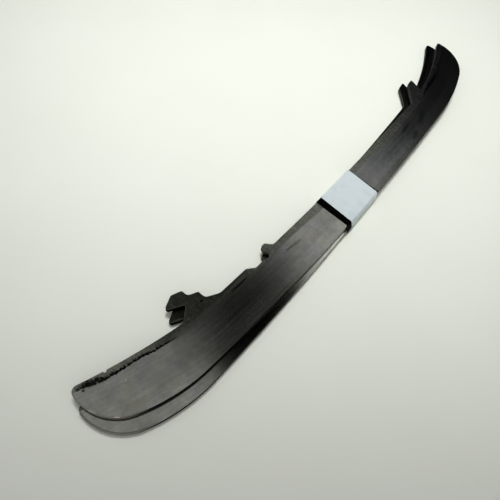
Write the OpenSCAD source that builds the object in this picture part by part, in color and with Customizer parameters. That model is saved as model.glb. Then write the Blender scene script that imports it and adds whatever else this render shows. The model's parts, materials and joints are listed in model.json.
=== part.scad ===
// Pair of spare steel runners for ice hockey skates, lying flat, one on the other.
// A band of black tape binds them, and a label is wrapped round the tape.
// +X runs from toe to heel along the upper runner, +Y points to the boot side, +Z is up.
// The origin is under the middle of the band, on the surface that the pair lies on.
// Runner heights are measured from the ice line, the tangent under the balance point.

/* [Steel] */
// Thickness of each runner
steel_t = 2.9; // [2.4:0.1:3.6]
// Radius of the hollow ground into the ice edge
hollow_r = 12.7; // [9.5:0.1:25]
// Width of the flat left along each side of the hollow
edge_flat = 0.15; // [0.1:0.05:0.4]

/* [Ice edge] */
// From the balance point to the front of the nose
toe_reach = 131.8; // [127:0.1:138]
// From the balance point to the back of the tail
heel_reach = 163.2; // [159:0.1:170]
// Radius of the rocker under the foot
rocker_r = 1500; // [1200:50:3000]
// From the balance point to where the toe sweep leaves the rocker
toe_start = 83; // [76:1:90]
// Radius of the toe sweep
toe_sweep_r = 92; // [80:1:120]
// Radius of the nose
nose_r = 23.5; // [20:0.5:26]
// From the balance point to where the heel sweep leaves the rocker
heel_start = 120; // [114:1:126]
// Radius of the heel sweep
heel_sweep_r = 100; // [85:1:120]
// Radius of the tail
tail_r = 21.5; // [18:0.5:24]

/* [Top edge] */
// Height of the toe tip
toe_tip_h = 40.9; // [38:0.1:44]
// Angle by which the toe end leans in under its tip
toe_lean = 9; // [4:0.5:15]
// Radius of the hollow line from the toe tip to the front notch
toe_line_r = 360; // [200:10:800]
// Radius of the index nick in the toe line
nick_r = 0.8; // [0.4:0.1:1.2]
// From the front of the nose to the index nick
nick_from_nose = 17.5; // [10:0.5:30]
// Height of the ledge behind the front hook
ledge_h = 22.5; // [21.5:0.1:24]
// Fall of the ledge along its length
ledge_fall = 0.8; // [0:0.1:1.2]
// Height of the low step in front of the catch
step_h = 19; // [18:0.1:20.5]
// Length of the low step
step_len = 6; // [4:0.5:9]
// Length of the slope from the ledge down to the low step
step_run = 3.7; // [2:0.1:6]
// Height of the flange at the catch and at the rear hook
flange_h = 21; // [20:0.1:22.5]
// Radius of the shallow dip of the flange
flange_r = 1700; // [900:50:3000]
// Radius of the hollow line from the rear hook to the heel tip
heel_line_r = 115; // [90:1:200]
// Height of the heel tip
heel_tip_h = 36; // [34:0.1:40]
// Angle by which the heel end leans in under its tip
heel_lean = 10; // [4:0.5:15]

/* [Front hook] */
// From the balance point to the throat of the hook
front_hook_x = 67.4; // [64:0.1:72]
// Height of the throat
throat_h = 30.6; // [29.5:0.1:32]
// Height of the notch floor where it meets the toe line
notch_foot_h = 25.3; // [24:0.1:27]
// Depth of the notch, along the runner
notch_len = 7.6; // [6:0.1:9]
// Reach of the hook's tip past the throat
front_tip_reach = 7.6; // [5:0.1:8.5]
// Rise of the hook's underside from the throat to the tip
front_tip_rise = 4.3; // [3.5:0.1:5]
// Thickness of the hook's tip
front_tip_t = 1.6; // [1.2:0.1:2.4]
// Height of the hook's peak
front_hook_h = 38.9; // [38:0.1:41]
// How far the peak lies in front of the throat
peak_lead = 1.5; // [0:0.1:2]
// Length of the crown from the peak to the scoop
crown_len = 5.3; // [4.5:0.1:6.5]
// Fall of the crown along its length
crown_drop = 2.1; // [1.5:0.1:3]
// Depth of the scoop under the peak
scoop_drop = 5.7; // [5:0.1:6.5]
// Height of the shoulder behind the scoop
shoulder_h = 30.8; // [29.5:0.1:32]
// From the throat to the back of the shoulder
shoulder_len = 8.8; // [8.2:0.1:11]
// Drop behind the shoulder
shoulder_drop = 4.2; // [3:0.1:5]
// Length of the slope from the shoulder down to the ledge
ledge_run = 6.5; // [4:0.5:9]

/* [Catch] */
// From the balance point to the throat of the catch
catch_x = 19.2; // [16:0.1:23]
// Height of the catch
catch_h = 24.6; // [23.9:0.1:26]
// Length of the catch along its top
catch_len = 2.2; // [1.5:0.1:3.5]
// Reach of the catch's lip past its throat
catch_lip = 1.5; // [0.8:0.1:2.2]
// Rise of the lip from the throat
catch_rise = 2.7; // [2.2:0.1:3]
// Length of the lip's sloping front
catch_lead = 1.2; // [0.8:0.1:1.6]
// Rise of the throat above the low step
throat_rise = 0.9; // [0.5:0.1:1.2]
// Length of the notch floor in front of the throat
catch_floor = 2.2; // [1.6:0.1:3]
// How far the notch floor dips under the low step
floor_dip = 1.3; // [0.8:0.1:1.8]
// Length of the slope from the low step down to the notch floor
floor_run = 3; // [2:0.1:4]
// Length of the slope from the catch down to the flange
catch_back = 2.7; // [2:0.1:4]

/* [Rear hook] */
// From the balance point to the root of the hook's heel-side face
rear_hook_x = 123.5; // [119:0.1:127]
// Height of the rear hook
rear_hook_h = 30.9; // [29.5:0.1:33]
// Length of the hook's top
rear_top_len = 4.5; // [3:0.1:6]
// Fall of the hook's top towards the toe
rear_top_fall = 0.6; // [0.2:0.1:1.5]
// Length of the hook's sloping toe side
rear_flank = 9.5; // [7:0.5:12]
// Overhang of the heel-side face
rear_overhang = 2.6; // [1:0.1:3]
// Height of the root of the heel-side face
rear_root_h = 22.3; // [21.5:0.1:23.5]

/* [Rounding] */
// Radius of the toe tip
toe_tip_round = 3.7; // [2:0.1:3.7]
// Radius of the heel tip and of the ledge's end
tip_round = 1.5; // [1:0.1:2]
// Radius of the corners of the hooks
hook_round = 0.7; // [0.4:0.1:0.9]
// Radius of the scoops behind the front hook
scoop_round = 2.5; // [1.5:0.1:3.5]
// Radius where a slope runs out into the top edge
foot_round = 5; // [3:0.5:8]

/* [Band and label] */
// From the balance point of the upper runner to the middle of the band
band_x = 34; // [30:0.5:44]
// Width of the tape band along the runners
band_w = 28; // [25:0.5:32]
// Thickness of the wound tape
tape_t = 0.4; // [0.2:0.05:0.8]
// Width of the label along the runners
label_w = 24; // [18:0.5:24]
// Width of tape left bare on the heel side of the label
label_back = 0.6; // [0.2:0.1:1]
// Thickness of the label
label_t = 0.2; // [0.1:0.05:0.4]
// Bend radius of the tape over the edges of the steel
bend_r = 0.5; // [0.2:0.1:0.8]

/* [How the pair lies] */
// Angle between the two runners
fan_angle = 2.3; // [0:0.1:3]
// Greatest angle that the band lets the runners fan to
fan_max = 3.1; // [3:0.1:4.5]
// Distance that the lower runner sits nearer the toe
lower_slip = 1.9; // [0:0.1:5]
// Distance that the lower runner sits out on the ice side, at the band
lower_shift = 0.4; // [0:0.1:1.5]
// Room over and under the lower runner
play = 0.1; // [0.05:0.05:0.3]
// Room between the upper runner's edges and the tape
side_fit = 0.1; // [0.05:0.05:0.3]
// Room that the tape leaves the lower runner at its widest fan
swing_room = 0.3; // [0.2:0.05:0.6]

/* [Hidden] */
$fn = 240;

// Levels, from the label's underside upwards
tape_z = label_t + tape_t;
lower_z = tape_z + play;
upper_z = lower_z + steel_t + play;
stack_z = upper_z + steel_t;

// Extra radius by which each arc of the ice edge crosses the wider arc before it
arc_cross = 0.03;
// How far a cut reaches past the steel
past = 2;
// Steel left between two stretches of hollow
hollow_gap = 0.3;
// Steps along a bowed line, those that the rounded toe tip takes up, and steps round a rounded corner
bow_steps = 12;
toe_tip_steps = 2;
corner_steps = 5;
// Greatest share of a side that one rounded corner takes
round_share = 0.45;
// Turn, as a sine, under which a corner counts as straight
straight = 0.001;

function unit(v) = v / norm(v);

// Height of the rocker at a distance from the balance point
function rocker_h(x) = rocker_r - sqrt(rocker_r * rocker_r - x * x);

// Ice edge of one end, x outward: sweep centre, nose centre and the point where these arcs meet
function sweep_centre(start, r) =
    [start * (1 - r / rocker_r), rocker_h(start) + r * (1 - rocker_h(start) / rocker_r)];
function nose_centre(c, r, tip_r, reach) =
    [reach - tip_r, c.y - sqrt(pow(r - tip_r, 2) - pow(reach - tip_r - c.x, 2))];
function meeting(c, n, r) = c + r * unit(n - c);

// End above the nose, x outward: a straight line that leaves the nose arc at the angle of its lean
function end_point(n, r, lean, h) =
    let (from = n + r * [cos(lean), sin(lean)])
    [from.x - (h - from.y) * tan(lean), h];

// Distance past its tangent point at which a tighter arc crosses the arc before it
function crossing(r, tighter_r) = sqrt(2 * arc_cross / (1 / tighter_r - 1 / r));

toe_sweep_c = sweep_centre(toe_start, toe_sweep_r);
nose_c = nose_centre(toe_sweep_c, toe_sweep_r, nose_r, toe_reach);
nose_meet = meeting(toe_sweep_c, nose_c, toe_sweep_r);
heel_sweep_c = sweep_centre(heel_start, heel_sweep_r);
tail_c = nose_centre(heel_sweep_c, heel_sweep_r, tail_r, heel_reach);
tail_meet = meeting(heel_sweep_c, tail_c, heel_sweep_r);

// Depth of a bow of radius r under its chord, at a share of the chord's length
function bow_depth(length, r, share) =
    sqrt(r * r - pow((share - 0.5) * length, 2)) - sqrt(r * r - length * length / 4);

// Point of a hollow line from p to q at a share of its length
function bow_point(p, q, r, share) =
    let (d = q - p, left = [-d.y, d.x] / norm(d))
    p + d * share - left * bow_depth(norm(d), r, share);

// Points of a hollow line from p to q, without its ends, from a given step on
function bow(p, q, r, first) =
    [for (i = [first:bow_steps - 1]) let (at = bow_point(p, q, r, i / bow_steps)) [at.x, at.y, 0]];

// Corner p between its neighbours a and b, rounded as far as its sides allow
function corner(a, p, b, r) =
    let (u = unit(a - p), w = unit(b - p))
    r == 0 || abs(cross(u, w)) < straight ? [p] :
    let (
        half = acos(u * w) / 2,
        reach = min(r / tan(half), round_share * norm(a - p), round_share * norm(b - p)),
        round_r = reach * tan(half),
        centre = p + unit(u + w) * round_r / sin(half),
        from = p + u * reach - centre,
        to = p + w * reach - centre,
        start = atan2(from.y, from.x),
        turn = atan2(cross(from, to), from * to)
    )
    [for (i = [0:corner_steps])
        let (angle = start + turn * i / corner_steps)
        centre + round_r * [cos(angle), sin(angle)]];

// Outline of [x, y, radius] corners as plain points
function rounded(pts) =
    let (n = len(pts), xy = [for (p = pts) [p.x, p.y]])
    [for (i = [0:n - 1]) each corner(xy[(i + n - 1) % n], xy[i], xy[(i + 1) % n], pts[i].z)];

// Front hook: notch, leaning tip, peak, scooped back and shoulder, towards the ledge
throat = [-front_hook_x, throat_h];
notch_foot = [throat.x - notch_len, notch_foot_h];
front_tip = throat + [-front_tip_reach, front_tip_rise];
crown_x = throat.x - peak_lead + crown_len;
shoulder_x = throat.x + shoulder_len;
front_hook_pts = [
    [notch_foot.x, notch_foot.y, hook_round],
    [throat.x, throat.y, hook_round],
    [front_tip.x, front_tip.y, hook_round],
    [front_tip.x, front_tip.y + front_tip_t, hook_round],
    [throat.x - peak_lead, front_hook_h, hook_round],
    [crown_x, front_hook_h - crown_drop, hook_round],
    [crown_x, front_hook_h - scoop_drop, scoop_round],
    [shoulder_x, shoulder_h, hook_round],
    [shoulder_x, shoulder_h - shoulder_drop, scoop_round],
    [shoulder_x + ledge_run, ledge_h + ledge_fall / 2, foot_round]
];

// Ledge end, low step, notch and catch, towards the flange
catch_throat = [-catch_x, step_h + throat_rise];
floor_x = catch_throat.x - catch_floor;
step_end = floor_x - floor_run;
lip_x = catch_throat.x - catch_lip;
catch_top_x = lip_x + catch_lead;
catch_end_x = catch_top_x + catch_len;
catch_pts = [
    [step_end - step_len - step_run, ledge_h - ledge_fall / 2, tip_round],
    [step_end - step_len, step_h, tip_round],
    [step_end, step_h, hook_round],
    [floor_x, step_h - floor_dip, hook_round],
    [catch_throat.x, catch_throat.y, hook_round],
    [lip_x, catch_throat.y + catch_rise, hook_round],
    [catch_top_x, catch_h, hook_round],
    [catch_end_x, catch_h, hook_round],
    [catch_end_x + catch_back, flange_h, tip_round]
];

// Rear hook, from its sloping toe side to its overhanging heel side
rear_root = [rear_hook_x, rear_root_h];
rear_tip = [rear_root.x + rear_overhang, rear_hook_h];
rear_hook_pts = [
    [rear_tip.x - rear_top_len - rear_flank, flange_h, foot_round],
    [rear_tip.x - rear_top_len, rear_tip.y - rear_top_fall, hook_round],
    [rear_tip.x, rear_tip.y, hook_round],
    [rear_root.x, rear_root.y, hook_round]
];

// Tips, and the feet of the straight ends at the height of the nose and tail centres
function flipped(p) = [-p.x, p.y];
toe_tip = flipped(end_point(nose_c, nose_r, toe_lean, toe_tip_h));
toe_foot = flipped(end_point(nose_c, nose_r, toe_lean, nose_c.y));
heel_tip = end_point(tail_c, tail_r, heel_lean, heel_tip_h);
heel_foot = end_point(tail_c, tail_r, heel_lean, tail_c.y);
flange_from = [catch_end_x + catch_back, flange_h];
flange_to = [rear_tip.x - rear_top_len - rear_flank, flange_h];

blank_pts = rounded(concat(
    [[toe_foot.x, -past, 0], [toe_foot.x, toe_foot.y, 0], [toe_tip.x, toe_tip.y, toe_tip_round]],
    bow(toe_tip, notch_foot, toe_line_r, toe_tip_steps),
    front_hook_pts,
    catch_pts,
    bow(flange_from, flange_to, flange_r, 1),
    rear_hook_pts,
    bow(rear_root, heel_tip, heel_line_r, 1),
    [[heel_tip.x, heel_tip.y, tip_round], [heel_foot.x, heel_foot.y, 0], [heel_foot.x, -past, 0]]
));

// Place of the index nick on the toe line
nick_share = (nick_from_nose - toe_reach - toe_tip.x) / (notch_foot.x - toe_tip.x);
nick_at = bow_point(toe_tip, notch_foot, toe_line_r, nick_share);

// Height of the dipped flange at a place between the catch and the rear hook
function flange_at(x) =
    let (span = flange_to.x - flange_from.x)
    flange_h - bow_depth(span, flange_r, (x - flange_from.x) / span);

// Runner axis at the band: half way between ice edge and flange
band_mid = (rocker_h(band_x) + flange_at(band_x)) / 2;

// Steel to cut away outside an arc, within a box from lo to hi
module outside_arc(c, r, lo, hi) {
    difference() {
        translate(lo) square(hi - lo);
        translate(c) circle(r);
    }
}

// Rocker, with its cut running on past the place where each sweep crosses it
module rocker_cut() {
    toe_end = toe_start + 2 * crossing(rocker_r, toe_sweep_r);
    heel_end = heel_start + 2 * crossing(rocker_r, heel_sweep_r);
    top = rocker_h(max(toe_end, heel_end)) + past;
    outside_arc([0, rocker_r], rocker_r, [-toe_end, -2 * past], [heel_end, top]);
}

// Sweep and nose of one end, x outward, up to where its straight line leaves the nose arc
module end_cut(start, sweep_c, sweep_r, tip_c, tip_r, meet, lean) {
    sweep_end = meet + [2 * crossing(sweep_r, tip_r), past];
    nose_end = tip_c + tip_r * [1 / cos(lean), sin(lean)] + [past, 0];
    outside_arc(sweep_c, sweep_r + arc_cross, [start, -2 * past], sweep_end);
    outside_arc(tip_c, tip_r + 2 * arc_cross, [meet.x, -2 * past], nose_end);
}

module outline() {
    difference() {
        polygon(blank_pts);
        rocker_cut();
        mirror([1, 0])
            end_cut(toe_start, toe_sweep_c, toe_sweep_r, nose_c, nose_r, nose_meet, toe_lean);
        end_cut(heel_start, heel_sweep_c, heel_sweep_r, tail_c, tail_r, tail_meet, heel_lean);
        translate(nick_at) circle(nick_r);
    }
}

// Hollow along one arc of the ice edge, from angle a to angle b about the arc's centre
hollow_half = steel_t / 2 - edge_flat;
hollow_out = sqrt(hollow_r * hollow_r - hollow_half * hollow_half);
module hollow(c, r, a, b) {
    translate([c.x, c.y, steel_t / 2])
        rotate([0, 0, a])
            rotate_extrude(angle = b - a)
                translate([r + hollow_out, 0])
                    circle(hollow_r);
}

// Bearing of a point from an arc's centre, and the angle that a length takes up on an arc
function bearing(c, p) = atan2(p.y - c.y, p.x - c.x);
function arc_angle(length, r) = length / r * 180 / PI;

// Hollow of the rocker, up to the sweeps
module rocker_hollow() {
    c = [0, rocker_r];
    toe_run = crossing(rocker_r, toe_sweep_r) - hollow_gap;
    heel_run = crossing(rocker_r, heel_sweep_r) - hollow_gap;
    hollow(
        c, rocker_r,
        bearing(c, [-toe_start, rocker_h(toe_start)]) - arc_angle(toe_run, rocker_r),
        bearing(c, [heel_start, rocker_h(heel_start)]) + arc_angle(heel_run, rocker_r)
    );
}

// Hollow of one sweep, from the rocker to the nose, x outward
module sweep_hollow(start, c, r, meet) {
    skip = crossing(rocker_r, r) + hollow_gap;
    hollow(
        c, r + arc_cross,
        bearing(c, [start, rocker_h(start)]) + arc_angle(skip, r),
        bearing(c, meet) - arc_angle(hollow_gap, r)
    );
}

module runner() {
    difference() {
        linear_extrude(steel_t) outline();
        rocker_hollow();
        mirror([1, 0, 0]) sweep_hollow(toe_start, toe_sweep_c, toe_sweep_r, nose_meet);
        sweep_hollow(heel_start, heel_sweep_c, heel_sweep_r, tail_meet);
    }
}

module upper_runner() {
    color("dimgray")
        translate([-band_x, -band_mid, upper_z])
            runner();
}

module lower_runner() {
    color("slategray")
        translate([0, 0, lower_z])
            rotate([0, 0, fan_angle])
                translate([-band_x - lower_slip, -band_mid - lower_shift, 0])
                    runner();
}

// Inside of the band: tight on the upper runner's edges, wider below for the lower runner's swing
band_half = band_w / 2;
upper_boot_y = max(flange_at(band_x - band_half), flange_at(band_x + band_half)) - band_mid + side_fit;
upper_ice_y = rocker_h(band_x - band_half) - band_mid - side_fit;
swing_y = band_half * sin(fan_max) + swing_room;
lower_boot_y = max(upper_boot_y, upper_boot_y - lower_shift + swing_y);
lower_ice_y = upper_ice_y - lower_shift - swing_y;
band_inside = [
    [upper_boot_y, stack_z],
    [upper_ice_y, stack_z],
    [lower_ice_y, upper_z],
    [lower_ice_y, tape_z],
    [lower_boot_y, tape_z],
    [lower_boot_y, upper_z]
];

// Corner of a ring of points moved out by a distance, so that each side moves out by it
function pushed(a, p, b, out) =
    let (u = unit(p - a), w = unit(b - p), left = [-u.y, u.x], next_left = [-w.y, w.x])
    p - out * (left + next_left) / (1 + left * next_left);

// Section of the wrap at a distance outside the band's inside
function wrap_section(out) =
    let (n = len(band_inside))
    rounded([for (i = [0:n - 1])
        let (p = pushed(band_inside[(i + n - 1) % n], band_inside[i], band_inside[(i + 1) % n], out))
        [p.x, p.y, bend_r + out]]);

// Closed wrap between two distances, from one place along the runners to another
module wrap(inner, outer, from_x, to_x) {
    translate([from_x, 0, 0])
        rotate([90, 0, 90])
            linear_extrude(to_x - from_x)
                difference() {
                    polygon(wrap_section(outer));
                    polygon(wrap_section(inner));
                }
}

module tape_band() {
    color("black") wrap(0, tape_t, -band_half, band_half);
}

label_end = band_half - label_back;
module label() {
    color("gainsboro") wrap(tape_t, tape_t + label_t, label_end - label_w, label_end);
}

upper_runner();
lower_runner();
tape_band();
label();
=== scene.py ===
"""Dresses a taped pair of hockey skate runners: worn steel, black tape, bare label, table, light, camera.

Sizes are in millimetres in the part's own frame and are turned to metres where Blender takes them.
"""
import json
import logging
import math
from dataclasses import dataclass
from enum import Enum
from typing import Any, ClassVar, Sequence

import bpy
from mathutils import Matrix, Vector, noise
from mathutils.bvhtree import BVHTree


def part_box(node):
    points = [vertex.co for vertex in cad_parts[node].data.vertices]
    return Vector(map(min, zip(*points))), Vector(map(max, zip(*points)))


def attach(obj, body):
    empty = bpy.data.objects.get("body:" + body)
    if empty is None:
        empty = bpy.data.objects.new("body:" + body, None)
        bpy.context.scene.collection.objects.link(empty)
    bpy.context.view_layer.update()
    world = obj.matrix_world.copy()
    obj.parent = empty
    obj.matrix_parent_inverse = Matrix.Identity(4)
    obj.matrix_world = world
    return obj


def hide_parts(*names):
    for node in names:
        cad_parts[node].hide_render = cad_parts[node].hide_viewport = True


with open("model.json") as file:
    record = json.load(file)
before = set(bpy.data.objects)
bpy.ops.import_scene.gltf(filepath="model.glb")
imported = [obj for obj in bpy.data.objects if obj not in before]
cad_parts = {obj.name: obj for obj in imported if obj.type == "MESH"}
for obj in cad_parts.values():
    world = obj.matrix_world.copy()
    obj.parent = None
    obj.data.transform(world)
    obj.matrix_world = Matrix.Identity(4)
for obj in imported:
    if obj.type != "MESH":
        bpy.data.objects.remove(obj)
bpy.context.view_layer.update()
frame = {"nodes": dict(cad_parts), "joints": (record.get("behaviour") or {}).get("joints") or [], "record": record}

LOG = logging.getLogger("skate_runners")
MM = 0.001

UPPER_NODE = "upper_runner"
LOWER_NODE = "lower_runner"

Pair = tuple[float, float]
Place = tuple[float, float, float]
Line = tuple[Pair, ...]
Swings = tuple[tuple[str, Pair], ...]
Tree = bpy.types.NodeTree
Socket = bpy.types.NodeSocket
Patterns = dict[str, Socket]

# Rows of node sockets: the terms of Math, the ranges of Map Range, and factor and both sides of Mix
TERMS = (0, 1, 2)
FROM = ("From Min", "From Max")
TO = ("To Min", "To Max")
NUMBERS = (0, 2, 3)
COLOURS = (0, 6, 7)
MIXED = 2

# The middle of a noise texture's values, and where nearly all of them lie
NOISE_MIDDLE = 0.5
NOISE_SPAN = (0.3, 0.7)


class Side(Enum):
    """The two long edges of a runner, by the direction in which they face at the band."""

    BOOT = 1
    ICE = -1


def linear(code: str) -> tuple[float, float, float, float]:
    """Turns an sRGB hex colour into linear red, green, blue and alpha.

    Args:
        code: the colour as six hex digits after a hash sign.

    Returns:
        Linear values between 0 and 1, with full alpha.
    """
    channels = [int(code[start:start + 2], 16) / 255 for start in (1, 3, 5)]
    red, green, blue = [c / 12.92 if c <= 0.04045 else ((c + 0.055) / 1.055) ** 2.4 for c in channels]
    return red, green, blue, 1.0


def feed(node: bpy.types.Node, links: dict[Any, Any]) -> None:
    """Gives a node's inputs their links and plain values.

    Args:
        node: the node.
        links: for an input's name or number, the socket or value that it gets, and for a row of them, a row.
    """
    for key, given in links.items():
        row = zip(key, given) if isinstance(key, tuple) else ((key, given),)
        for name, value in row:
            if isinstance(value, Socket):
                node.id_data.links.new(value, node.inputs[name])
            else:
                node.inputs[name].default_value = value


def add_node(tree: Tree, kind: str, links: dict[Any, Any] | None = None, points: Line = (),
             **settings: Any) -> bpy.types.Node:
    """Adds one shader node with its settings and links.

    Args:
        tree: the node tree that takes the node.
        kind: the node's type name without its ShaderNode prefix.
        links: what its inputs get, as for feed.
        points: for a curve, its points in order, from 0 to 1 both ways.
        settings: properties of the node itself.

    Returns:
        The new node.
    """
    node = tree.nodes.new("ShaderNode" + kind)
    for name, value in settings.items():
        setattr(node, name, value)
    feed(node, links or {})
    if points:
        curve = node.mapping.curves[0].points
        curve[0].location, curve[1].location = points[0], points[-1]
        for point in points[1:-1]:
            curve.new(*point)
        node.mapping.update()
    return node


def new_material(name: str) -> tuple[bpy.types.Material, bpy.types.Node]:
    """Makes a node material with a bare Principled shader.

    Args:
        name: the material's name.

    Returns:
        The material and its shader node.
    """
    material = bpy.data.materials.new(name)
    material.use_nodes = True
    return material, material.node_tree.nodes["Principled BSDF"]


@dataclass(frozen=True)
class Course:
    """A value that changes smoothly along a line: points of a place and the value there, none above top."""

    top: float
    points: Line

    def read(self, tree: Tree, place: Socket) -> Socket:
        """Reads the value at a place on the line.

        Args:
            tree: the node tree.
            place: the place.

        Returns:
            The value.
        """
        start, end = self.points[0][0], self.points[-1][0]
        curve = tuple(((at - start) / (end - start), value / self.top) for at, value in self.points)
        far = add_node(tree, "MapRange", {"Value": place, FROM: (start, end)}).outputs[0]
        share = add_node(tree, "FloatCurve", {"Value": far}, curve).outputs[0]
        return add_node(tree, "Math", {TERMS: (share, self.top)}, operation="MULTIPLY").outputs[0]


@dataclass(frozen=True)
class Grain:
    """A noise pattern: the width of its blotches, how finely and how strongly they break up, their length.

    A streaked pattern has a length, and an even one is as long as it is wide. A pixel of the render is about
    half a millimetre, so a pattern that is finer on the real piece is drawn as coarse as it needs to show.
    """

    width: float
    detail: float
    breakup: float = 0.5
    length: float | None = None


@dataclass(frozen=True)
class RunnerPlace:
    """Where a runner's own drawing lies in the part's frame.

    The drawing's x runs along the blade from toe to heel with 0 at its middle, and y goes up from the ice.
    The turn is in radians.
    """

    offset: Vector
    turn: float

    # Where the front hook's mount lies in the drawing
    THROAT: ClassVar[Pair] = (-67.4, 30.6)

    @classmethod
    def of(cls, prefix: str) -> "RunnerPlace":
        """Finds a runner's place from its front hook mount.

        Args:
            prefix: the word that its mounts' names start with.

        Returns:
            The runner's place.
        """
        mounts = {mount["name"]: mount for mount in frame["record"]["mounts"]}
        hook = mounts[prefix + "_front_hook"]
        turn = math.atan2(-hook["axis"][1], -hook["axis"][0])
        seen = Matrix.Rotation(-turn, 2) @ (Vector(hook["pos_m"][:2]) / MM)
        return cls(Vector(cls.THROAT) - seen, turn)


@dataclass(frozen=True)
class Mark:
    """A stain, scuff, rubbed spot or painted highlight: a soft ragged oval on the runner's drawing.

    It has half sizes along and across, turned by an angle in degrees. Ragged is how much grit frays it, and
    the edge says where it starts and where it is full, as shares of its half sizes.
    """

    place: Pair
    half: Pair
    angle: float
    code: str
    strength: float = 0.85
    ragged: float = 1.5
    edge: Pair = (1.2, 0.6)

    def paint(self, tree: Tree, sheet: Socket, grit: Socket, under: Socket) -> Socket:
        """Lays the mark over a colour.

        Args:
            tree: the node tree.
            sheet: the place on the runner's drawing.
            grit: fine noise about 0 that frays the mark's outline.
            under: the colour under the mark.

        Returns:
            The colour with the mark on it.
        """
        oval = add_node(tree, "Mapping", {
            "Vector": sheet, "Location": (*self.place, 0.0), "Scale": (*self.half, 1.0),
            "Rotation": (0.0, 0.0, math.radians(self.angle))}, vector_type="TEXTURE").outputs[0]
        off = add_node(tree, "VectorMath", {TERMS: (oval,)}, operation="LENGTH").outputs["Value"]
        frayed = add_node(tree, "Math", {TERMS: (grit, self.ragged, off)},
                          operation="MULTIPLY_ADD").outputs[0]
        mask = add_node(tree, "MapRange", {"Value": frayed, FROM: self.edge, TO: (0.0, self.strength)},
                        interpolation_type="SMOOTHSTEP").outputs[0]
        return add_node(tree, "Mix", {COLOURS: (mask, under, linear(self.code))},
                        data_type="RGBA").outputs[MIXED]


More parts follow.
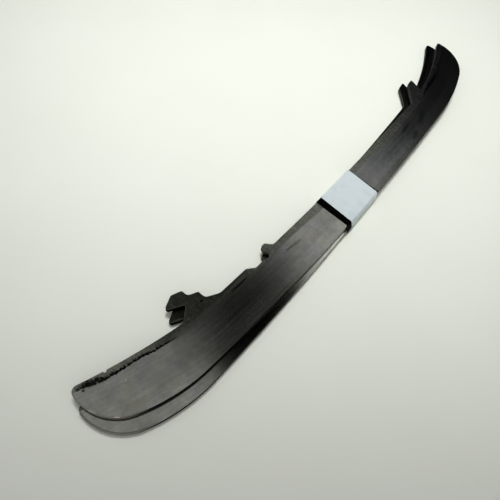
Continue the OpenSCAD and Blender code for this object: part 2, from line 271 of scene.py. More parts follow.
@dataclass(frozen=True)
class RunnerSteel:
    """Hardened steel, stamped, surface ground and used: a soft sheen drawn out across the grinding lines.

    The flange strip on the boot side is rougher and duller where the holder rubbed, and grime sits along
    its border. The walls are painted with shade: black on most of the ice side, painted lit at the nose and by
    the band, and dull grey on the boot side, with painted shade in the seam where the runners meet. The corners
    are rubbed a little brighter.
    Along the strip, lighter and darker bands are painted as reflections. Places are on the runner's drawing, and
    each course runs along its x.
    """

    name: str
    marks: tuple[Mark, ...] = ()

    # Patterns. The real lines, scuffs and specks are under 0.1 mm wide, so they are drawn coarser, to show
    grind: Grain = Grain(0.7, 4.0, 0.65, length=45.0)
    scuff: Grain = Grain(0.8, 3.0, length=3.0)
    speckle: Grain = Grain(0.8, 3.0, 0.6)
    patch: Grain = Grain(2.6, 4.0, 0.6)
    cloud: Grain = Grain(9.0, 5.0, 0.6)
    chill: Grain = Grain(9.0, 3.0)

    # The cool stains are moved so that they don't follow the clouds
    chill_shift: float = 300.0

    # Noise has its middle value at the whole steps of its lattice, so the streaks start between them
    start: Place = (0.37, 0.41, 0.53)

    # Ground face: its tone, how much the patterns swing it, and the painted light and shade of a band along the
    # ice edge, which follows the rocker's radius
    ground: str = "#7c7c77"
    tone: Course = Course(4.0, ((-135.0, 1.0), (165.0, 1.0)))
    swings: Swings = (("grind", (0.84, 1.16)), ("cloud", (0.85, 1.13)), ("patch", (0.88, 1.12)))
    edge_painted_light: Course = Course(3.0, (
        (-135.0, 1.05), (-90.0, 1.12), (-70.0, 0.75), (-50.0, 1.5), (-30.0, 1.1), (0.0, 1.2), (60.0, 1.2),
        (90.0, 1.6), (115.0, 1.7), (130.0, 1.3), (165.0, 1.2)))
    edge_band: Pair = (9.0, 3.0)
    rocker: float = 1500.0

    # Stains on it: olive in the clouds, cool in patches and all over towards the heel
    olive: str = "#78776a"
    olive_from: Pair = (0.5, 0.68)
    olive_level: float = 0.4
    cool: str = "#787a7a"
    cool_from: Pair = (0.48, 0.66)
    cool_level: float = 0.6
    cool_heel: Pair = (20.0, 70.0)

    # Strip along the ice edge that the wheel seared, behind the band
    seared: str = "#6c6a5f"
    seared_width: float = 2.4
    seared_soft: float = 0.4
    seared_wander: float = 3.0
    seared_from: Pair = (30.0, 46.0)
    seared_level: float = 0.6

    # Dull rim round the nose
    rim: str = "#3d3d33"
    rim_level: float = 0.2
    rim_inset: Pair = (0.8, 0.3)
    rim_from: Pair = (-112.0, -120.0)
    nose_centre: Pair = (-108.3, 32.77)
    nose_radius: float = 23.5

    # Flange strip: its border, how soft and how wandering that is, its colours, and its tone, which is painted
    # lighter and darker along it as reflections
    strip_line: Course = Course(50.0, (
        (-135.0, 39.6), (-127.0, 36.9), (-121.0, 34.6), (-115.5, 32.0), (-108.5, 30.0), (-100.0, 27.9),
        (-92.5, 25.4), (-84.5, 23.4), (-70.0, 20.5), (-45.0, 18.7), (-14.0, 17.5), (2.0, 16.9),
        (19.0, 15.6), (53.0, 16.4), (79.0, 15.9), (106.0, 17.0), (118.0, 18.0), (125.0, 20.0),
        (143.0, 24.3), (165.0, 35.0)))
    strip_soft: Course = Course(5.0, (
        (-135.0, 0.4), (-88.0, 0.4), (-79.0, 4.0), (-36.0, 3.5), (-24.0, 0.8), (165.0, 0.6)))
    strip_wander: float = 1.0
    strip: str = "#66685f"
    strip_heel: str = "#656468"
    heel_from: Pair = (85.0, 125.0)
    strip_painted_light: Course = Course(2.0, (
        (-135.0, 1.0), (-95.0, 0.9), (-84.0, 0.45), (-40.0, 0.5), (-30.0, 0.95), (0.0, 1.12), (55.0, 1.4),
        (80.0, 1.35), (100.0, 1.0), (112.0, 0.85), (122.0, 0.75), (165.0, 0.6)))
    strip_swings: Swings = (("speckle", (0.7, 1.3)), ("scuff", (0.74, 1.26)), ("patch", (0.85, 1.15)))

    # Grime along the border, which reaches less far below the border than over it
    grime: str = "#0a0a09"
    grime_width: Course = Course(3.0, (
        (-135.0, 0.0), (-128.0, 0.9), (-125.0, 1.9), (-121.0, 2.3), (-117.0, 1.9), (-113.5, 1.0),
        (-92.0, 0.8), (-84.0, 0.4), (-70.0, 0.2), (108.0, 0.2), (120.0, 0.4), (127.0, 0.7), (145.0, 0.6),
        (155.0, 0.25), (165.0, 0.1)))
    grime_depth: Course = Course(1.0, (
        (-135.0, 0.0), (-128.0, 0.3), (-124.0, 0.95), (-87.0, 1.0), (-82.0, 0.6), (-76.0, 0.0),
        (-40.0, 0.0), (-20.0, 0.4), (100.0, 0.4), (115.0, 0.7), (124.0, 0.95), (146.0, 0.9),
        (157.0, 0.4), (165.0, 0.1)))
    grime_stop: float = 2.5
    grime_fray: float = 6.0
    grime_soft: float = 0.2

    # Walls: their painted shade, how much painted light they get on the ice side and on the boot side, and how
    # far the painted shade in the seam between the runners reaches
    # The wall colour is painted shade, and the lit colour is painted light where the walls show lit
    wall: str = "#050504"
    wall_lit: str = "#a8a89c"
    ice_wall_lit: Course = Course(1.0, (
        (-135.0, 0.6), (-127.0, 0.55), (-121.0, 0.38), (-115.0, 0.08), (-110.0, 0.0), (-34.0, 0.0),
        (-22.0, 0.25), (-12.0, 0.6), (-4.0, 0.9), (10.0, 1.0), (22.0, 1.0), (45.0, 0.25), (100.0, 0.08),
        (165.0, 0.03)))
    boot_wall_lit: float = 0.15
    boot_facing: Pair = (-0.2, 0.3)
    seam_shade_reach: Pair = (0.2, 0.5)
    wall_facing: Pair = (0.5, 0.2)

    # Rubbed corners: their radius, and how far the rounded surface leaves the flat one there
    worn: str = "#b5b3ab"
    corner: float = 0.25
    corner_samples: int = 6
    worn_from: Pair = (0.98, 0.8)
    worn_level: float = 0.4

    # Gloss: smoothest on the ground face, where it swings with the lines, and duller where it is covered. The
    # walls, which are painted dark as shade, hardly shine, and the sheen is drawn out one way
    roughness: Pair = (0.16, 0.205)
    dulling: tuple[tuple[str, float], ...] = (("strip", 0.12), ("grime", 0.3), ("wall", 0.4))
    wall_shine: float = 0.02
    drawn_out: float = 0.75
    relief_strength: float = 0.1
    relief_depth: float = 0.02

    @staticmethod
    def vary(tree: Tree, level: Socket, made: Patterns, swings: Swings) -> Socket:
        """Makes a level brighter and darker by patterns.

        Args:
            tree: the node tree.
            level: the level before.
            made: the patterns.
            swings: each pattern's name with its least and greatest factor.

        Returns:
            The varied level.
        """
        for name, swing in swings:
            factor = add_node(tree, "MapRange", {
                "Value": made[name], FROM: NOISE_SPAN, TO: swing}).outputs[0]
            level = add_node(tree, "Math", {TERMS: (level, factor)}, operation="MULTIPLY").outputs[0]
        return level

    def patterns(self, tree: Tree, place: RunnerPlace) -> Patterns:
        """Makes the patterns and masks that the colour and the gloss share.

        Args:
            tree: the node tree.
            place: where the runner's drawing lies.

        Returns:
            The sockets by name.
        """
        coords = add_node(tree, "TexCoord").outputs["Object"]
        drawing = add_node(tree, "Mapping", {
            "Vector": coords, "Location": (*place.offset, 0.0), "Rotation": (0.0, 0.0, -place.turn),
            "Scale": (1 / MM,) * 3}).outputs[0]
        split = add_node(tree, "SeparateXYZ", {"Vector": drawing}).outputs
        made = {"x": split["X"], "y": split["Y"], "z": split["Z"]}
        made["sheet"] = add_node(tree, "CombineXYZ", {"X": made["x"], "Y": made["y"]}).outputs[0]
        moved = add_node(tree, "VectorMath", {TERMS: (drawing, (self.chill_shift, 0.0, 0.0))},
                         operation="ADD").outputs[0]
        for name, grain, where in (("speckle", self.speckle, drawing), ("patch", self.patch, drawing),
                                   ("cloud", self.cloud, drawing), ("chill", self.chill, moved)):
            made[name] = add_node(tree, "TexNoise", {
                "Vector": where, "Scale": 1 / grain.width, "Detail": grain.detail,
                "Roughness": grain.breakup}).outputs[0]
        for name, source in (("grit", "speckle"), ("wander", "patch")):
            made[name] = add_node(tree, "Math", {TERMS: (made[source], NOISE_MIDDLE)},
                                  operation="SUBTRACT").outputs[0]
        self.lay_strip(tree, made)
        self.lay_grime(tree, made)
        self.lay_edges(tree, made)
        self.lay_walls(tree, made)
        return made

    def lay_strip(self, tree: Tree, made: Patterns) -> None:
        """Adds the flange strip, and the grinding lines and scuffs, which follow its border.

        Args:
            tree: the node tree.
            made: the patterns so far.
        """
        border = self.strip_line.read(tree, made["x"])
        rise = add_node(tree, "Math", {TERMS: (made["y"], border)}, operation="SUBTRACT").outputs[0]
        made["over"] = add_node(tree, "Math", {TERMS: (made["wander"], self.strip_wander, rise)},
                                operation="MULTIPLY_ADD").outputs[0]
        soft = self.strip_soft.read(tree, made["x"])
        inward = add_node(tree, "Math", {TERMS: (made["over"], soft)}, operation="DIVIDE").outputs[0]
        made["strip"] = add_node(tree, "MapRange", {"Value": inward, FROM: (-1.0, 1.0)},
                                 interpolation_type="SMOOTHSTEP").outputs[0]

        # The lines run along the border and sweep up into the toe, and the scuffs run across it
        across = add_node(tree, "CombineXYZ", {"X": made["x"], "Y": rise}).outputs[0]
        for name, grain, size in (("grind", self.grind, (self.grind.length, self.grind.width)),
                                  ("scuff", self.scuff, (self.scuff.width, self.scuff.length))):
            drawn = add_node(tree, "Mapping", {
                "Vector": across, "Location": self.start,
                "Scale": (1 / size[0], 1 / size[1], 1.0)}).outputs[0]
            made[name] = add_node(tree, "TexNoise", {
                "Vector": drawn, "Scale": 1.0, "Detail": grain.detail,
                "Roughness": grain.breakup}).outputs[0]

    def lay_grime(self, tree: Tree, made: Patterns) -> None:
        """Adds the grime along the strip's border.

        Args:
            tree: the node tree.
            made: the patterns so far.
        """
        width = self.grime_width.read(tree, made["x"])
        below = add_node(tree, "Math", {TERMS: (made["over"], -self.grime_stop)},
                         operation="MULTIPLY").outputs[0]
        off = add_node(tree, "Math", {TERMS: (made["over"], below)}, operation="MAXIMUM").outputs[0]
        holes = add_node(tree, "Math", {TERMS: (made["grit"], self.grime_fray, 1.0)},
                         operation="MULTIPLY_ADD").outputs[0]
        reach = add_node(tree, "Math", {TERMS: (width, holes)}, operation="MULTIPLY").outputs[0]
        within = add_node(tree, "Math", {TERMS: (reach, off)}, operation="SUBTRACT").outputs[0]
        caked = add_node(tree, "MapRange", {"Value": within, FROM: (-self.grime_soft, self.grime_soft)},
                         interpolation_type="SMOOTHSTEP").outputs[0]
        depth = self.grime_depth.read(tree, made["x"])
        made["grime"] = add_node(tree, "Math", {TERMS: (caked, depth)}, operation="MULTIPLY").outputs[0]

    def lay_edges(self, tree: Tree, made: Patterns) -> None:
        """Adds the height over the ice edge, the seared strip along it and the rim round the nose.

        Args:
            tree: the node tree.
            made: the patterns so far.
        """
        # The ice edge bows up by the square of x over twice the rocker's radius
        square = add_node(tree, "Math", {TERMS: (made["x"], made["x"])}, operation="MULTIPLY").outputs[0]
        made["ice"] = add_node(tree, "Math", {TERMS: (square, -1 / (2 * self.rocker), made["y"])},
                               operation="MULTIPLY_ADD").outputs[0]
        shaky = add_node(tree, "Math", {TERMS: (made["wander"], self.seared_wander, made["ice"])},
                         operation="MULTIPLY_ADD").outputs[0]
        border = (self.seared_width + self.seared_soft, self.seared_width - self.seared_soft)
        near = add_node(tree, "MapRange", {"Value": shaky, FROM: border},
                        interpolation_type="SMOOTHSTEP").outputs[0]
        behind = add_node(tree, "MapRange", {
            "Value": made["x"], FROM: self.seared_from, TO: (0.0, self.seared_level)}).outputs[0]
        made["seared"] = add_node(tree, "Math", {TERMS: (near, behind)}, operation="MULTIPLY").outputs[0]

        spoke = add_node(tree, "VectorMath", {TERMS: (made["sheet"], (*self.nose_centre, 0.0))},
                         operation="DISTANCE").outputs["Value"]
        round_nose = tuple(self.nose_radius - inset for inset in self.rim_inset)
        ring = add_node(tree, "MapRange", {"Value": spoke, FROM: round_nose},
                        interpolation_type="SMOOTHSTEP").outputs[0]
        front = add_node(tree, "MapRange", {
            "Value": made["x"], FROM: self.rim_from, TO: (0.0, self.rim_level)}).outputs[0]
        made["rim"] = add_node(tree, "Math", {TERMS: (ring, front)}, operation="MULTIPLY").outputs[0]

    def lay_walls(self, tree: Tree, made: Patterns) -> None:
        """Adds the walls by the way they face, the painted shade in the seam between the runners and the rubbed
        corners.

        Args:
            tree: the node tree.
            made: the patterns so far.
        """
        # The walls are painted darker as shade near the seam between the runners
        seam = (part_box(LOWER_NODE)[1].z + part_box(UPPER_NODE)[0].z) / 2 / MM
        level = add_node(tree, "Math", {TERMS: (made["z"], seam)}, operation="SUBTRACT").outputs[0]
        apart = add_node(tree, "Math", {TERMS: (level,)}, operation="ABSOLUTE").outputs[0]
        made["clear"] = add_node(tree, "MapRange", {"Value": apart, FROM: self.seam_shade_reach},
                                 interpolation_type="SMOOTHSTEP").outputs[0]

        plain = add_node(tree, "NewGeometry").outputs["True Normal"]
        facing = add_node(tree, "SeparateXYZ", {"Vector": plain}).outputs
        made["boot"] = add_node(tree, "MapRange", {"Value": facing["Y"], FROM: self.boot_facing}).outputs[0]
        flat = add_node(tree, "Math", {TERMS: (facing["Z"],)}, operation="ABSOLUTE").outputs[0]
        made["wall"] = add_node(tree, "MapRange", {"Value": flat, FROM: self.wall_facing}).outputs[0]
        made["face"] = add_node(tree, "Math", {TERMS: (1.0, made["wall"])}, operation="SUBTRACT").outputs[0]

        # Corners are rubbed where the rounded surface leaves the flat one
        made["rounded"] = add_node(tree, "Bevel", {"Radius": self.corner * MM},
                                   samples=self.corner_samples).outputs[0]
        match = add_node(tree, "VectorMath", {TERMS: (made["rounded"], plain)},
                         operation="DOT_PRODUCT").outputs["Value"]
        rubbed = add_node(tree, "MapRange", {
            "Value": match, FROM: self.worn_from, TO: (0.0, self.worn_level)}).outputs[0]
        made["worn"] = add_node(tree, "Math", {TERMS: (rubbed, made["face"])},
                                operation="MULTIPLY").outputs[0]

    def face_colour(self, tree: Tree, made: Patterns) -> Socket:
        """Mixes the ground face's colour: steel with its stains and the seared strip, lighter and darker, with
        painted light and shade along the ice edge and, on the lower runner, along the whole face.

        Args:
            tree: the node tree.
            made: the patterns and masks.

        Returns:
            The colour.
        """
        # On the lower runner the tone along x is painted reflection
        level = self.vary(tree, self.tone.read(tree, made["x"]), made, self.swings)
        # A band along the ice edge is painted lighter and darker along x, as reflections
        low = add_node(tree, "MapRange", {"Value": made["ice"], FROM: self.edge_band},
                       interpolation_type="SMOOTHSTEP").outputs[0]
        edge = self.edge_painted_light.read(tree, made["x"])
        lift = add_node(tree, "Mix", {NUMBERS: (low, 1.0, edge)}).outputs[0]
        level = add_node(tree, "Math", {TERMS: (level, lift)}, operation="MULTIPLY").outputs[0]

        stained = add_node(tree, "MapRange", {
            "Value": made["cloud"], FROM: self.olive_from, TO: (0.0, self.olive_level)}).outputs[0]
        patchy = add_node(tree, "MapRange", {
            "Value": made["chill"], FROM: self.cool_from, TO: (0.0, self.cool_level)}).outputs[0]
        heelward = add_node(tree, "MapRange", {"Value": made["x"], FROM: self.cool_heel}).outputs[0]
        chilled = add_node(tree, "Math", {TERMS: (patchy, heelward)}, operation="MAXIMUM").outputs[0]
        picked = linear(self.ground)
        for mask, code in ((stained, self.olive), (chilled, self.cool), (made["seared"], self.seared)):
            picked = add_node(tree, "Mix", {COLOURS: (mask, picked, linear(code))},
                              data_type="RGBA").outputs[MIXED]
        return add_node(tree, "VectorMath", {0: picked, "Scale": level}, operation="SCALE").outputs[0]

    def strip_colour(self, tree: Tree, made: Patterns) -> Socket:
        """Mixes the flange strip's colour, with painted reflections along it.

        Args:
            tree: the node tree.
            made: the patterns and masks.

        Returns:
            The colour.
        """
        # The strip's level along x is painted reflection: dark by the hook and at the heel, light by the band
        level = self.vary(tree, self.strip_painted_light.read(tree, made["x"]), made, self.strip_swings)
        tail = add_node(tree, "MapRange", {"Value": made["x"], FROM: self.heel_from}).outputs[0]
        picked = add_node(tree, "Mix", {COLOURS: (tail, linear(self.strip), linear(self.strip_heel))},
                          data_type="RGBA").outputs[MIXED]
        return add_node(tree, "VectorMath", {0: picked, "Scale": level}, operation="SCALE").outputs[0]

    def wall_colour(self, tree: Tree, made: Patterns) -> Socket:
        """Mixes the walls' colour: painted shade, lightened by painted light as far as they show lit on each side.

        Args:
            tree: the node tree.
            made: the patterns and masks.

        Returns:
            The colour.
        """
        # Walls are painted dark as shade, and lighter as painted light where they show lit
        ice = self.ice_wall_lit.read(tree, made["x"])
        # On the boot side the painted light fades to painted shade at the seam
        boot = add_node(tree, "Math", {TERMS: (made["clear"], self.boot_wall_lit)},
                        operation="MULTIPLY").outputs[0]
        lit_share = add_node(tree, "Mix", {NUMBERS: (made["boot"], ice, boot)}).outputs[0]
        return add_node(tree, "Mix", {COLOURS: (lit_share, linear(self.wall), linear(self.wall_lit))},
                        data_type="RGBA").outputs[MIXED]

    def colour(self, tree: Tree, made: Patterns) -> Socket:
        """Lays the colours over each other: face, strip, grime, rim, marks and painted highlights, the walls'
        painted shade and light, and rubbed corners.

        Args:
            tree: the node tree.
            made: the patterns and masks.

        Returns:
            The colour.
        """
        picked = self.face_colour(tree, made)
        for name, cover in (("strip", self.strip_colour(tree, made)), ("grime", linear(self.grime)),
                            ("rim", linear(self.rim))):
            picked = add_node(tree, "Mix", {COLOURS: (made[name], picked, cover)},
                              data_type="RGBA").outputs[MIXED]
        for mark in self.marks:
            picked = mark.paint(tree, made["sheet"], made["grit"], picked)
        for name, cover in (("wall", self.wall_colour(tree, made)), ("worn", linear(self.worn))):
            picked = add_node(tree, "Mix", {COLOURS: (made[name], picked, cover)},
                              data_type="RGBA").outputs[MIXED]
        return picked

    def material(self, place: RunnerPlace) -> bpy.types.Material:
        """Builds the finish for the runner that lies at a place.

        Args:
            place: where the runner's drawing lies.

        Returns:
            The material.
        """
        material, shader = new_material(self.name)
        tree = material.node_tree
        made = self.patterns(tree, place)
        gloss = add_node(tree, "MapRange", {
            "Value": made["grind"], FROM: NOISE_SPAN, TO: self.roughness}).outputs[0]
        for name, dull in self.dulling:
            gloss = add_node(tree, "Math", {TERMS: (made[name], dull, gloss)},
                             operation="MULTIPLY_ADD").outputs[0]

        # The strip's specks stand on the grinding lines
        relief = add_node(tree, "Math", {TERMS: (made["speckle"], made["strip"], made["grind"])},
                          operation="MULTIPLY_ADD").outputs[0]
        bump = add_node(tree, "Bump", {
            "Height": relief, "Strength": self.relief_strength, "Distance": self.relief_depth * MM,
            "Normal": made["rounded"]}).outputs[0]

        # The sheen is drawn out over the blade, at right angles to its length
        over_blade = add_node(tree, "CombineXYZ", {
            "X": -math.sin(place.turn), "Y": math.cos(place.turn)}).outputs[0]
        # The walls are not metal, so their painted shade shows as it is
        feed(shader, {
            "Base Color": self.colour(tree, made), "Roughness": gloss, "Metallic": made["face"],
            "Specular IOR Level": self.wall_shine, "Anisotropic": self.drawn_out, "Tangent": over_blade,
            "Normal": bump})
        return material


@dataclass(frozen=True)
class BlackTape:
    """Calendered PVC tape, stretched tight: a dull black with a faint grain and drawn lines.

    The real grain and lines are about a tenth of a millimetre wide, so they are drawn coarser, to show.
    """

    name: str = "pvc_tape_black"
    body: str = "#010101"
    chalked: str = "#050505"
    grain: Grain = Grain(0.5, 2.0)
    pull: Grain = Grain(0.7, 3.0, length=12.0)
    pull_share: float = 0.5
    chalk_from: Pair = (0.6, 1.0)
    chalk_level: float = 0.6
    roughness_from: Pair = (0.5, 1.0)
    roughness: Pair = (0.52, 0.72)
    relief_strength: float = 0.3
    relief_depth: float = 0.03
    ior: float = 1.53
    sheen_level: float = 0.02

    def material(self) -> bpy.types.Material:
        """Builds the finish.

        Returns:
            The material.
        """
        material, shader = new_material(self.name)
        tree = material.node_tree
        coords = add_node(tree, "TexCoord").outputs["Object"]
        sizes = (self.pull.width, self.pull.length, self.pull.length)
        drawn = add_node(tree, "Mapping", {
            "Vector": coords, "Scale": tuple(1 / (size * MM) for size in sizes)}).outputs[0]
        lines = add_node(tree, "TexNoise", {
            "Vector": drawn, "Scale": 1.0, "Detail": self.pull.detail}).outputs[0]
        grain = add_node(tree, "TexNoise", {
            "Vector": coords, "Scale": 1 / (self.grain.width * MM), "Detail": self.grain.detail}).outputs[0]
        both = add_node(tree, "Math", {TERMS: (lines, self.pull_share, grain)},
                        operation="MULTIPLY_ADD").outputs[0]
        chalk = add_node(tree, "MapRange", {
            "Value": both, FROM: self.chalk_from, TO: (0.0, self.chalk_level)}).outputs[0]
        colour = add_node(tree, "Mix", {COLOURS: (chalk, linear(self.body), linear(self.chalked))},
                          data_type="RGBA").outputs[MIXED]
        gloss = add_node(tree, "MapRange", {
            "Value": both, FROM: self.roughness_from, TO: self.roughness}).outputs[0]
        bump = add_node(tree, "Bump", {
            "Height": both, "Strength": self.relief_strength,
            "Distance": self.relief_depth * MM}).outputs[0]
        feed(shader, {
            "Base Color": colour, "Roughness": gloss, "Normal": bump, "IOR": self.ior,
            "Specular IOR Level": self.sheen_level})
        return material


@dataclass(frozen=True)
class LabelFilm:
    """Laminated polyester label film, wrapped by hand: a pale cool white with a soft even gloss.

    The real film's grain is far under a tenth of a millimetre, so it is drawn coarser, to show.
    """

    name: str = "label_film_white"
    body: str = "#c4ced0"
    handled: str = "#bdc6c8"
    cloud: Grain = Grain(5.0, 4.0)
    grain: Grain = Grain(0.7, 2.0)
    handled_from: Pair = (0.45, 0.7)
    roughness: Pair = (0.32, 0.46)
    relief_strength: float = 0.15
    relief_depth: float = 0.02
    ior: float = 1.57

    def material(self) -> bpy.types.Material:
        """Builds the finish.

        Returns:
            The material.
        """
        material, shader = new_material(self.name)
        tree = material.node_tree
        coords = add_node(tree, "TexCoord").outputs["Object"]
        cloud, grain = [add_node(tree, "TexNoise", {
            "Vector": coords, "Scale": 1 / (pattern.width * MM), "Detail": pattern.detail}).outputs[0]
            for pattern in (self.cloud, self.grain)]
        touched = add_node(tree, "MapRange", {"Value": cloud, FROM: self.handled_from}).outputs[0]
        colour = add_node(tree, "Mix", {COLOURS: (touched, linear(self.body), linear(self.handled))},
                          data_type="RGBA").outputs[MIXED]
        gloss = add_node(tree, "MapRange", {"Value": cloud, FROM: NOISE_SPAN, TO: self.roughness}).outputs[0]
        bump = add_node(tree, "Bump", {
            "Height": grain, "Strength": self.relief_strength,
            "Distance": self.relief_depth * MM}).outputs[0]
        feed(shader, {"Base Color": colour, "Roughness": gloss, "Normal": bump, "IOR": self.ior})
        return material


@dataclass(frozen=True)
class TableLaminate:
    """Melamine table top: pale cream, matt, with a very faint cloudiness."""

    name: str = "melamine_cream"
    body: str = "#e8ebe1"
    clouded: str = "#e1e4d9"
    cloud: Grain = Grain(60.0, 4.0)
    roughness: float = 0.55

    def material(self) -> bpy.types.Material:
        """Builds the finish.

        Returns:
            The material.
        """
        material, shader = new_material(self.name)
        tree = material.node_tree
        coords = add_node(tree, "TexCoord").outputs["Object"]
        cloud = add_node(tree, "TexNoise", {
            "Vector": coords, "Scale": 1 / (self.cloud.width * MM), "Detail": self.cloud.detail}).outputs[0]
        colour = add_node(tree, "Mix", {COLOURS: (cloud, linear(self.body), linear(self.clouded))},
                          data_type="RGBA").outputs[MIXED]
        feed(shader, {"Base Color": colour, "Roughness": self.roughness})
        return material


@dataclass
class Runner:
    """One steel runner: the CAD node itself with its finish put on.

    Its edges are felt for just under its top face, by probe_depth.
    """

    node: str
    finish: RunnerSteel
    place: RunnerPlace
    probe_depth: float = 0.05

    def dress(self) -> None:
        """Puts the steel on."""
        materials = frame["nodes"][self.node].data.materials
        materials.clear()
        materials.append(self.finish.material(self.place))

    def edge(self, x: float, side: Side, turns: Sequence[float] = (0.0,)) -> float:
        """Finds how far out one long edge of the runner comes at a place along the band.

        Args:
            x: the place along the part.
            side: which edge.
            turns: angles about the part's upright axis to try, in radians.

        Returns:
            The edge's y, the furthest out of all the angles.
        """
        mesh = frame["nodes"][self.node].data
        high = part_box(self.node)[1]
        tree = BVHTree.FromPolygons([v.co for v in mesh.vertices], [p.vertices for p in mesh.polygons])

        # Twice as far out as the boot side reaches is clear of both edges
        start = Vector((x * MM, side.value * 2 * high.y, high.z - self.probe_depth * MM))
        inward = Vector((0.0, -side.value, 0.0))
        found = []
        for turn in turns:
            swing = Matrix.Rotation(turn, 3, "Z")
            hit = tree.ray_cast(swing.inverted() @ start, swing.inverted() @ inward)[0]
            found.append((swing @ hit).y / MM)
        return max(found, key=lambda y: side.value * y)


@dataclass
class Wrap:
    """A strip wound once round both runners, tight on the upper one and tented out to the lower one.

    It is a closed band of two skins. An ear is a piece of its toe-side end that was pinched out, between two
    of its corners, which are numbered from the boot side's top over the ice side.
    """

    node: str
    slot: str
    finish: BlackTape | LabelFilm
    upper: Runner
    lower: Runner

    # How far the strip lies off the steel, its thickness, the size of its bends, its lean over the blade,
    # the room that it leaves for the lower runner's swing, and the most of a side that a bend takes up
    inside: float
    thickness: float
    bend: float
    lean: float = 0.0
    slack: float = 0.1
    bend_share: float = 0.45

    # Ripple: its height, its length each way, where it is drawn from, the level that it lifts away from and
    # how much more it lifts up and down than sideways
    ripple: float = 0.02
    ripple_size: Place = (3.5, 5.0, 2.0)
    ripple_seed: float = 0.0
    ripple_centre: float = 3.6
    ripple_upward: float = 3.0

    # Pinched ear
    ear: float = 0.0
    ear_run: float = 3.0
    ear_corners: Pair = (1.0, 2.5)

    # Mesh
    stations: int = 29
    bend_steps: int = 6
    span_steps: int = 5
    crease: float = 50.0

    def hull(self, x: float) -> list[Vector]:
        """Finds the steel's outline across the band.

        Args:
            x: the place along the part.

        Returns:
            The corners as y and z, from the boot side's top over the top and round below.
        """
        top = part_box(self.upper.node)[1].z / MM
        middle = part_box(self.lower.node)[1].z / MM
        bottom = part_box(self.lower.node)[0].z / MM
        turns = [math.radians(angle) for angle in (0.0, *frame["joints"][0]["range_deg"])]
        wide = {}
        for side in Side:
            tight = self.upper.edge(x, side)
            swung = self.lower.edge(x, side, turns) + side.value * self.slack
            wide[side] = (tight, max(tight, swung, key=lambda y: side.value * y))
        boot, ice = wide[Side.BOOT], wide[Side.ICE]
        corners = ((boot[0], top), (ice[0], top), (ice[1], middle), (ice[1], bottom), (boot[1], bottom),
                   (boot[1], middle))
        return [Vector(corner) for corner in corners]

    def bend_reach(self, way: Vector, out: float) -> Vector:
        """Finds where a corner's bend starts on one of its sides.

        Args:
            way: the side, from the corner to the next corner.
            out: how far outside the steel the line runs.

        Returns:
            The way from the corner to the start of the bend.
        """
        return min(self.bend + out, self.bend_share * way.length) * way.normalized()

    def ring(self, hull: list[Vector], out: float) -> list[Vector]:
        """Draws the strip's line round the steel.

        Args:
            hull: the steel's corners.
            out: how far outside them the line runs.

        Returns:
            Points as y and z, the same number for every station.
        """
        count = len(hull)
        faces = []
        for index in range(count):
            run = (hull[(index + 1) % count] - hull[index]).normalized()
            faces.append(Vector((run.y, -run.x)))
        pushed = []
        for index in range(count):
            before, after = faces[index - 1], faces[index]
            pushed.append(hull[index] + (before + after) * out / (1 + before.dot(after)))
        line = []
        for index, corner in enumerate(pushed):
            following = pushed[(index + 1) % count]
            entry = self.bend_reach(pushed[index - 1] - corner, out)
            leave = self.bend_reach(following - corner, out)
            for step in range(self.bend_steps + 1):
                part = step / self.bend_steps
                line.append(corner + (1 - part) ** 2 * entry + part ** 2 * leave)
            start = line[-1]
            end = following + self.bend_reach(corner - following, out)
            for step in range(1, self.span_steps + 1):
                line.append(start.lerp(end, step / (self.span_steps + 1)))
        return line

    def pinch(self, along: float, index: int) -> float:
        """Finds how far the strip's toe-side end stands out where it was pinched, on the ice side.

        Args:
            along: how far the place is from the strip's toe-side end.
            index: the point's number round the strip.

        Returns:
            The distance towards the toe.
        """
        corners = index / (self.bend_steps + 1 + self.span_steps)
        start, end = self.ear_corners
        if not start < corners < end or along > self.ear_run:
            return 0.0
        return self.ear * (1 - along / self.ear_run) * math.sin(math.pi * (corners - start) / (end - start))

    def rippled(self, x: float, point: Vector) -> Vector:
        """Moves a point of the strip out or in by the ripple.

        Args:
            x: the place along the part.
            point: the point as y and z.

        Returns:
            The moved point as y and z.
        """
        along, over, up = self.ripple_size
        seen = Vector((x / along, point.x / over, point.y / up + self.ripple_seed))
        away = Vector((point.x, (point.y - self.ripple_centre) * self.ripple_upward)).normalized()
        return point + away * (self.ripple * noise.noise(seen))

    def skins(self) -> list[list[list[Vector]]]:
        """Places the strip's points, in metres.

        Returns:
            For the inner and the outer skin, the points round the strip at each station.
        """
        low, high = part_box(self.node)
        length = (high.x - low.x) / MM
        places = [low.x / MM + length * step / (self.stations - 1) for step in range(self.stations)]
        hulls = [self.hull(x) for x in places]
        skins = []
        for out in (self.inside, self.inside + self.thickness):
            rings = []
            for x, hull in zip(places, hulls):
                ring = []
                for index, point in enumerate(self.ring(hull, out)):
                    spot = self.rippled(x, point)
                    toeward = self.pinch(x - places[0], index)
                    ring.append(Vector((x + self.lean * point.x - toeward, spot.x, spot.y)) * MM)
                rings.append(ring)
            skins.append(rings)
        return skins

    def faces(self, count: int) -> list[tuple[int, ...]]:
        """Joins the points into one closed mesh.

        Args:
            count: how many points go round the strip.

        Returns:
            The faces as numbers of points, of which the inner skin's come first.
        """
        stride = self.stations * count
        faces = []
        for row in range(self.stations - 1):
            for k in range(count):
                a, b = row * count + k, row * count + (k + 1) % count
                inner = (a, b, b + count, a + count)
                faces.append(inner)
                faces.append(tuple(stride + i for i in reversed(inner)))
        for row, flip in ((0, False), (self.stations - 1, True)):
            for k in range(count):
                a, b = row * count + k, row * count + (k + 1) % count
                end = (b, a, stride + a, stride + b)
                faces.append(tuple(reversed(end)) if flip else end)
        return faces

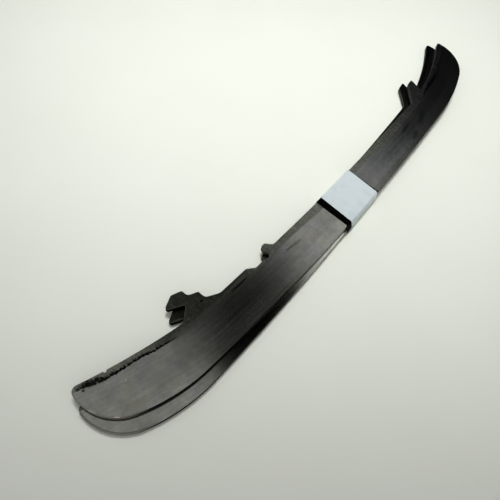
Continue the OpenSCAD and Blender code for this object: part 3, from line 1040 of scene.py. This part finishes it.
    def build(self) -> bpy.types.Object:
        """Builds the strip.

        Returns:
            The strip, standing for its CAD node.
        """
        skins = self.skins()
        points = [point for rings in skins for ring in rings for point in ring]
        mesh = bpy.data.meshes.new(self.slot + "_strip")
        mesh.from_pydata(points, [], self.faces(len(skins[0][0])))
        mesh.shade_smooth()
        mesh.set_sharp_from_angle(angle=math.radians(self.crease))
        strip = bpy.data.objects.new(self.slot + "_strip", mesh)
        bpy.context.scene.collection.objects.link(strip)
        mesh.materials.append(self.finish.material())
        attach(strip, "bound_runner")
        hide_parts(self.node)
        return strip


@dataclass(frozen=True)
class Lamp:
    """A soft rectangular lamp that the steel doesn't mirror. Power is in watts and spread in degrees."""

    name: str
    place: Place
    aim: Place
    size: Pair
    power: float
    spread: float

    def hang(self) -> None:
        """Hangs the lamp."""
        light = bpy.data.lights.new(self.name, "AREA")
        light.shape = "RECTANGLE"
        light.size, light.size_y = [side * MM for side in self.size]
        light.energy = self.power
        light.spread = math.radians(self.spread)
        lamp = bpy.data.objects.new(self.name, light)
        lamp.location = Vector(self.place) * MM
        lamp.rotation_euler = (Vector(self.aim) - Vector(self.place)).to_track_quat("-Z", "Y").to_euler()
        lamp.visible_camera = False
        lamp.visible_glossy = False
        bpy.context.scene.collection.objects.link(lamp)


@dataclass
class Studio:
    """The table, the room, its lamp and the camera.

    The ceiling is given by how far a direction points towards the heel, from -1 to 1. The long bright and
    dark zones on the steel are reflections of it.
    """

    finish: TableLaminate = TableLaminate()
    table_reach: float = 4000.0

    # Camera
    camera_place: Place = (-204.62, -63.413, 304.49)
    camera_aim: Place = (-55.65, 18.957, 0.0)
    camera_roll: float = 12.545
    lens: float = 50.4
    sensor: float = 36.0
    clip_start: float = 10.0

    # Light: the walls end over a span of a direction's height, and matt surfaces get a share of the room
    lamp: Lamp = Lamp("softbox", place=(190.0, 200.0, 950.0), aim=(50.0, 75.0, 0.0), size=(450.0, 350.0),
                      power=0.46, spread=26.0)
    ceiling: Course = Course(1.2, (
        (-1.0, 0.8), (0.12, 0.78), (0.17, 0.7), (0.21, 0.71), (0.25, 0.68), (0.28, 0.48), (0.305, 0.07),
        (0.33, 0.004), (0.42, 0.004), (0.43, 0.01), (0.455, 0.56), (0.48, 1.02), (0.52, 1.05), (0.56, 0.88),
        (0.6, 0.55), (0.63, 0.22), (0.66, 0.02), (0.7, 0.012), (1.0, 0.02)))
    walls: float = 0.7
    wall_top: Pair = (0.08, 0.25)
    fill: float = 0.47
    light_colour: str = "#ffffff"

    def lay_table(self) -> None:
        """Lays the table top under the part."""
        reach = self.table_reach * MM
        corners = [(-reach, -reach, 0), (reach, -reach, 0), (reach, reach, 0), (-reach, reach, 0)]
        mesh = bpy.data.meshes.new("table_top")
        mesh.from_pydata(corners, [], [(0, 1, 2, 3)])
        mesh.materials.append(self.finish.material())
        table = bpy.data.objects.new("table_top", mesh)
        bpy.context.scene.collection.objects.link(table)

    def light(self) -> None:
        """Lights the room: pale walls, a ceiling that is bright but for two dark bays, and the lamp."""
        scene = bpy.context.scene
        scene.view_settings.view_transform = "Standard"
        world = bpy.data.worlds.new("room")
        world.use_nodes = True
        scene.world = world
        tree = world.node_tree
        way = add_node(tree, "SeparateXYZ", {"Vector": add_node(tree, "TexCoord").outputs["Generated"]})
        ceiling = self.ceiling.read(tree, way.outputs["X"])
        above = add_node(tree, "MapRange", {"Value": way.outputs["Z"], FROM: self.wall_top},
                         interpolation_type="SMOOTHSTEP").outputs[0]
        level = add_node(tree, "Mix", {NUMBERS: (above, self.walls, ceiling)}).outputs[0]
        matt = add_node(tree, "LightPath").outputs["Is Diffuse Ray"]
        share = add_node(tree, "MapRange", {"Value": matt, TO: (1.0, self.fill)}).outputs[0]
        strength = add_node(tree, "Math", {TERMS: (level, share)}, operation="MULTIPLY").outputs[0]
        feed(tree.nodes["Background"], {"Color": linear(self.light_colour), "Strength": strength})
        self.lamp.hang()

    def set_camera(self) -> None:
        """Sets the camera at the photograph's place, aim and roll."""
        place, aim = Vector(self.camera_place) * MM, Vector(self.camera_aim) * MM
        ahead = (aim - place).normalized()
        level = ahead.cross(Vector((0.0, 0.0, 1.0))).normalized()
        upright = level.cross(ahead)
        roll = math.radians(self.camera_roll)
        right = level * math.cos(roll) + upright * math.sin(roll)
        up = right.cross(ahead)
        data = bpy.data.cameras.new("camera")
        data.lens = self.lens
        data.sensor_width = self.sensor
        data.clip_start = self.clip_start * MM
        camera = bpy.data.objects.new("camera", data)
        turned = Matrix((right, up, -ahead)).transposed()
        camera.matrix_world = Matrix.Translation(place) @ turned.to_4x4()
        bpy.context.scene.collection.objects.link(camera)
        bpy.context.scene.camera = camera


# The upper runner, from the toe's dark and rubbed spots and the painted highlights on the nose's edge to the
# heel's stains
UPPER_STEEL = RunnerSteel("ground_steel_upper", marks=(
    Mark((-128.3, 37.7), (1.1, 0.7), -20.0, "#12110c"),
    Mark((-125.6, 37.0), (0.9, 0.7), 60.0, "#0b0a08"),
    Mark((-126.9, 35.6), (0.7, 0.6), 0.0, "#0b0a08"),
    Mark((-123.8, 36.2), (1.0, 0.9), 70.0, "#080807"),
    # Painted highlights where light catches the edge of the nose
    Mark((-125.5, 16.8), (1.5, 0.24), -47.0, "#d6c2b5", 0.9, 0.5),
    Mark((-130.7, 26.3), (2.3, 0.3), -74.0, "#b9ada6", 0.45, 0.5),
    Mark((-115.8, 14.8), (4.6, 2.0), -38.0, "#757462", 0.45, 3.0),
    Mark((-105.9, 8.9), (1.8, 1.2), -25.0, "#767460", 0.4, 3.0),
    Mark((-98.6, 8.0), (2.8, 1.2), -18.0, "#716f60", 0.4, 3.0),
    Mark((-111.6, 25.4), (0.5, 0.3), 20.0, "#a3a39b", 0.6),
    Mark((-42.0, 20.4), (6.2, 1.0), 1.0, "#63655e", 0.7, 2.5),
    Mark((-42.8, 19.0), (6.0, 0.5), -2.0, "#030303", 0.95, 0.6),
    Mark((-61.1, 26.5), (0.9, 0.6), -30.0, "#0a0a08"),
    Mark((-72.3, 25.0), (0.9, 0.25), 8.0, "#8a8982", 0.4),
    Mark((-8.2, 13.4), (6.0, 0.8), -7.0, "#3f3f40", 0.55),
    Mark((93.5, 13.4), (5.0, 1.1), 8.0, "#2c2d2c", 0.6),
    Mark((93.6, 6.8), (4.0, 1.3), 20.0, "#303236", 0.5),
    Mark((107.0, 11.0), (6.0, 1.6), 25.0, "#232424", 0.4),
    Mark((133.0, 21.2), (10.0, 1.0), 8.0, "#040404", 0.8),
))

# The lower runner is smoother, darker on its nose and rubbed on its hook; its face is painted lighter and
# darker along x as reflections, lightest by the band, and its strip is painted darker as the shade under the
# upper runner
LOWER_STEEL = RunnerSteel(
    "ground_steel_lower",
    marks=(Mark((-72.1, 33.8), (3.0, 0.4), -29.0, "#6f6e62", 0.6, 1.0),),
    ground="#7d7d77",
    # Painted reflections along the face: dark by the hook, light by the band
    tone=Course(4.0, (
        (-135.0, 1.0), (-85.0, 0.9), (-64.0, 0.6), (-50.0, 0.8), (-33.0, 2.0), (-20.0, 2.0), (-9.0, 1.55),
        (3.0, 1.8), (15.0, 1.9), (165.0, 1.2))),
    rim_level=0.7,
    # Painted shade under the upper runner
    strip="#4a4b43",
    strip_heel="#484749",
    roughness=(0.08, 0.125),
)


def main() -> None:
    """Builds and dresses everything in order."""
    logging.basicConfig(level=logging.INFO, format="%(name)s: %(message)s")
    studio = Studio()
    studio.set_camera()
    studio.lay_table()
    studio.light()
    upper = Runner(UPPER_NODE, UPPER_STEEL, RunnerPlace.of("upper"))
    lower = Runner(LOWER_NODE, LOWER_STEEL, RunnerPlace.of("lower"))
    for runner in (upper, lower):
        runner.dress()
        LOG.info("dressed %s", runner.node)
    tape = Wrap("tape_band", "tape", BlackTape(), upper, lower,
                inside=0.08, thickness=0.27, bend=0.3, ear=1.7)
    label = Wrap("label", "label", LabelFilm(), upper, lower,
                 inside=0.4, thickness=0.16, bend=0.5, lean=0.035, ripple_seed=7.0)
    for wrap in (tape, label):
        LOG.info("built %s", wrap.build().name)


if __name__ == "__main__":
    main()
